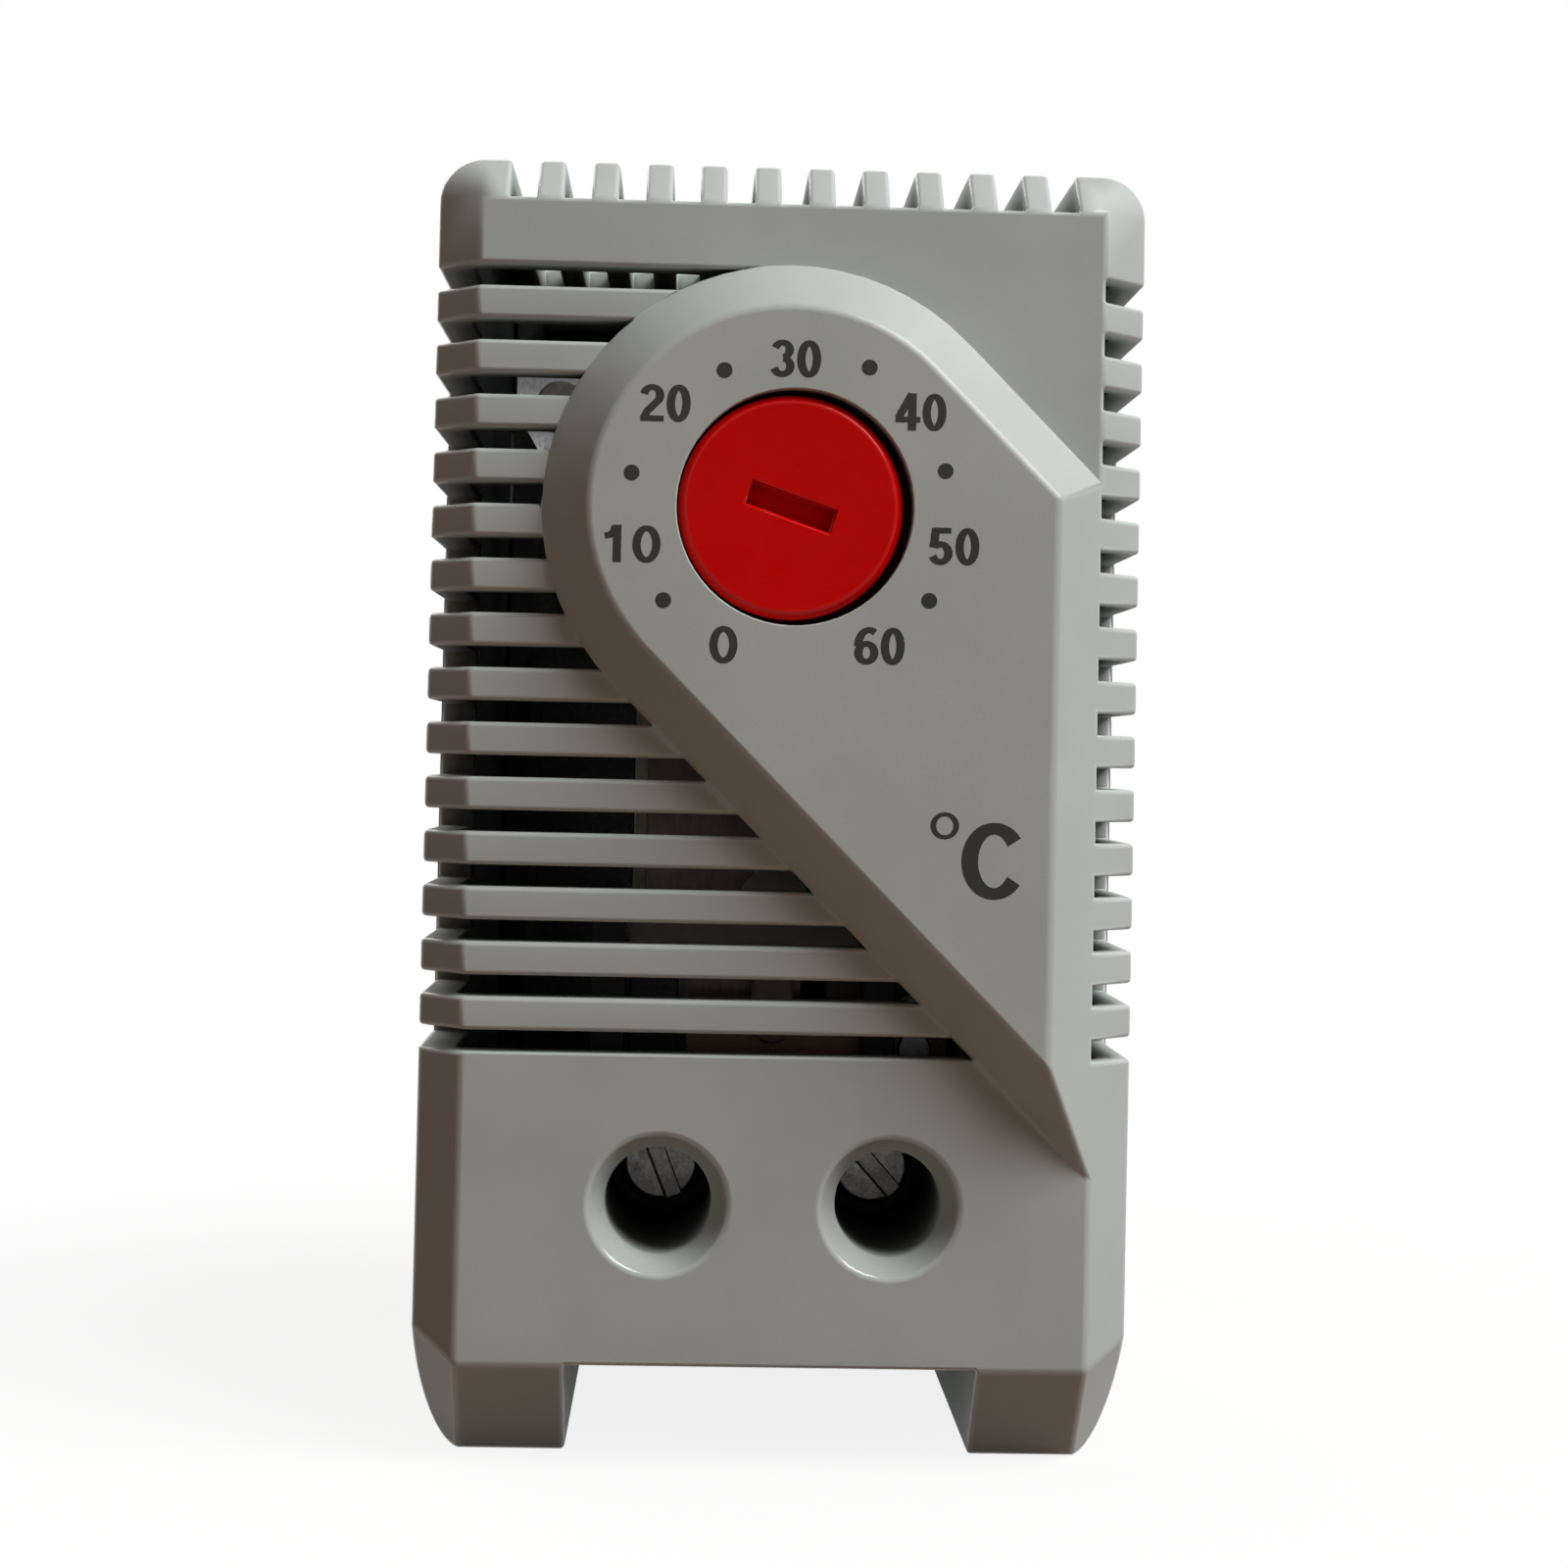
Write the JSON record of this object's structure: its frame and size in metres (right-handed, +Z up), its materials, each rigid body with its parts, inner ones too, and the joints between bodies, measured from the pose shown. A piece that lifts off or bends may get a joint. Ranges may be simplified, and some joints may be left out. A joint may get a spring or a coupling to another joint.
{
  "type": "din rail thermostat",
  "caption": "Compact enclosure thermostat with a screwdriver-set dial, vented housing, two screw terminals and a clip for a 35 mm rail.",
  "frame": {"origin": "middle of the seat face that rests on the rail", "axes": "+X to the right seen from the front, +Y out of the back towards the rail, +Z up"},
  "size_m": [0.033, 0.043, 0.06],
  "materials": {
    "housing": "satin light grey moulding",
    "frame_plastic": "satin black moulding",
    "knob": "gloss red moulding",
    "cam_plastic": "satin white moulding",
    "lever_plastic": "satin light grey moulding",
    "latch_plastic": "satin light grey moulding",
    "spring_steel": "drawn spring wire",
    "spring_bronze": "rolled phosphor bronze",
    "contact_silver": "bright silver",
    "rivet_metal": "plated, satin",
    "bimetal": "rolled, brownish",
    "plated_steel": "zinc plated",
    "screw_steel": "zinc plated",
    "magnet": "sintered, dark",
    "bar_brass": "tinned brass, satin"
  },
  "bodies": {
    "case": {"front_shell": "housing", "rear_base": "housing", "inner_frame": "frame_plastic", "leaf_rivets": "rivet_metal", "bimetal_bracket": "plated_steel", "bimetal_rivets": "rivet_metal", "calibration_screw": "plated_steel", "snap_magnet": "magnet", "busbar_left": "bar_brass", "busbar_right": "bar_brass"},
    "dial": {"dial_knob": "knob", "dial_cam": "cam_plastic"},
    "lever": {"setting_lever": "lever_plastic", "lever_spring": "spring_steel"},
    "leaf": {"contact_leaf": "spring_bronze", "fixed_contact": "contact_silver"},
    "strip": {"bimetal_strip": "bimetal", "moving_contact": "contact_silver", "armature": "plated_steel"},
    "screw_left": {"terminal_screw_left": "screw_steel"},
    "screw_right": {"terminal_screw_right": "screw_steel"},
    "cage_left": {"terminal_cage_left": "plated_steel"},
    "cage_right": {"terminal_cage_right": "plated_steel"},
    "latch": {"rail_latch": "latch_plastic", "latch_spring": "spring_steel"}
  },
  "joints": [
    {"name": "dial_turn", "type": "hinge", "parent": "case", "child": "dial", "pos_m": [0, -0.035, 0.01375], "axis": [0, 1, 0], "range_deg": [-78.5, 221.5]},
    {"name": "lever_tilt", "type": "hinge", "parent": "case", "child": "lever", "pos_m": [0, -0.0273, -0.006], "axis": [1, 0, 0], "range_deg": [-1.24, 3.5], "deforming": ["lever_spring"]},
    {"name": "leaf_flex", "type": "hinge", "parent": "case", "child": "leaf", "pos_m": [0.0065, -0.0253, -0.011], "axis": [0, 0, -1], "range_deg": [-0.96, 2.7]},
    {"name": "strip_bend", "type": "hinge", "parent": "case", "child": "strip", "pos_m": [-0.0024, -0.0227, 0.0194], "axis": [1, 0, 0], "range_deg": [-0.25, 3], "stiffness_Nm_per_rad": 0.02},
    {"name": "screw_left_turn", "type": "hinge", "parent": "case", "child": "screw_left", "pos_m": [-0.00529, -0.022, -0.018], "axis": [0, 1, 0], "range_deg": [0, 1441]},
    {"name": "screw_right_turn", "type": "hinge", "parent": "case", "child": "screw_right", "pos_m": [0.00529, -0.022, -0.018], "axis": [0, 1, 0], "range_deg": [0, 1441]},
    {"name": "cage_left_rise", "type": "slide", "parent": "case", "child": "cage_left", "axis": [0, -1, 0], "range_m": [0, 0.002]},
    {"name": "cage_right_rise", "type": "slide", "parent": "case", "child": "cage_right", "axis": [0, -1, 0], "range_m": [0, 0.002]},
    {"name": "latch_slide", "type": "slide", "parent": "case", "child": "latch", "axis": [0, 0, -1], "range_m": [0, 0.0036], "stiffness_N_per_m": 400, "springref_m": -0.002, "deforming": ["latch_spring"]}
  ],
  "couplings": [
    {"joint": "lever_tilt", "follows": "dial_turn", "ratio": 0.015806},
    {"joint": "leaf_flex", "follows": "dial_turn", "ratio": 0.012158},
    {"joint": "screw_left_turn", "follows": "cage_left_rise", "rad_per_m": 12566},
    {"joint": "screw_right_turn", "follows": "cage_right_rise", "rad_per_m": 12566}
  ]
}
